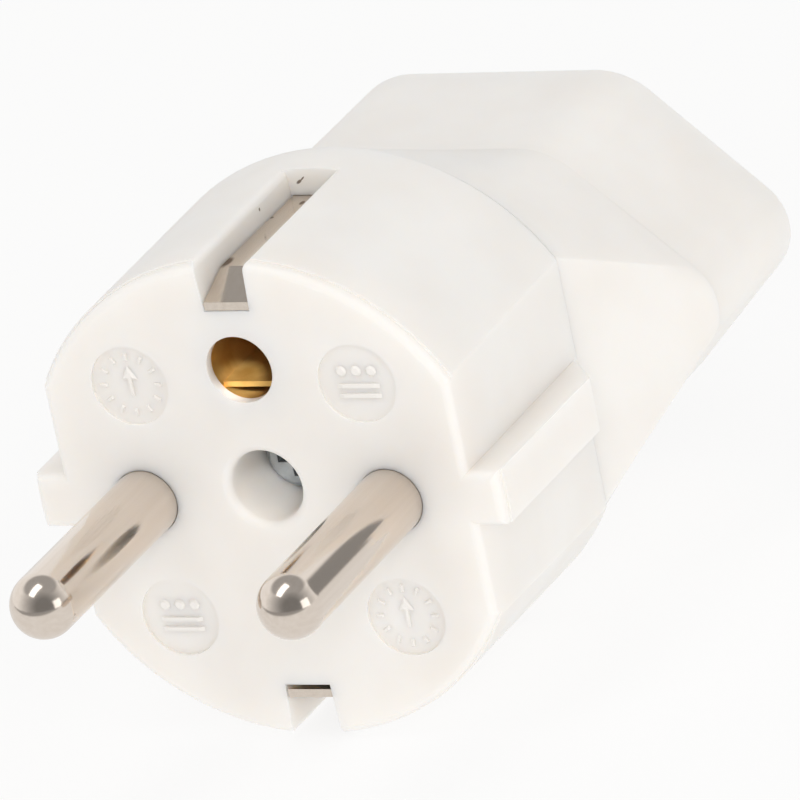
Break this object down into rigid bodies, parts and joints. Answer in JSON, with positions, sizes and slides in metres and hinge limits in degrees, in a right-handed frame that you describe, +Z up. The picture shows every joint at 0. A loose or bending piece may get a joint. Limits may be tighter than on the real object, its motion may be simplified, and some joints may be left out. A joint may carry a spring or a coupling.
{
  "type": "plug adapter",
  "caption": "Off-white mains plug adapter: round earthed plug with two nickel pins, side earth clips and an earth-pin hole in front, hexagonal three-pole socket body behind.",
  "frame": {"origin": "on the plug face, midway between the two pins", "axes": "+X right seen from the front, +Y back from the plug face towards the socket, +Z up towards the earth-pin hole"},
  "size_m": [0.0412, 0.0662, 0.0366],
  "materials": {
    "moulding": "satin moulded thermoplastic",
    "nickel": "bright nickel plate on brass",
    "brass": "bare sheet brass",
    "zinc": "blue zinc plate"
  },
  "bodies": {
    "root": {"plug_body": "moulding", "socket_body": "moulding", "socket_insert": "moulding", "left_pin": "nickel", "right_pin": "nickel", "left_contact": "brass", "right_contact": "brass", "earth_clip": "nickel", "earth_pin_sleeve": "brass", "earth_contact": "brass", "assembly_screw": "zinc"}
  },
  "joints": []
}
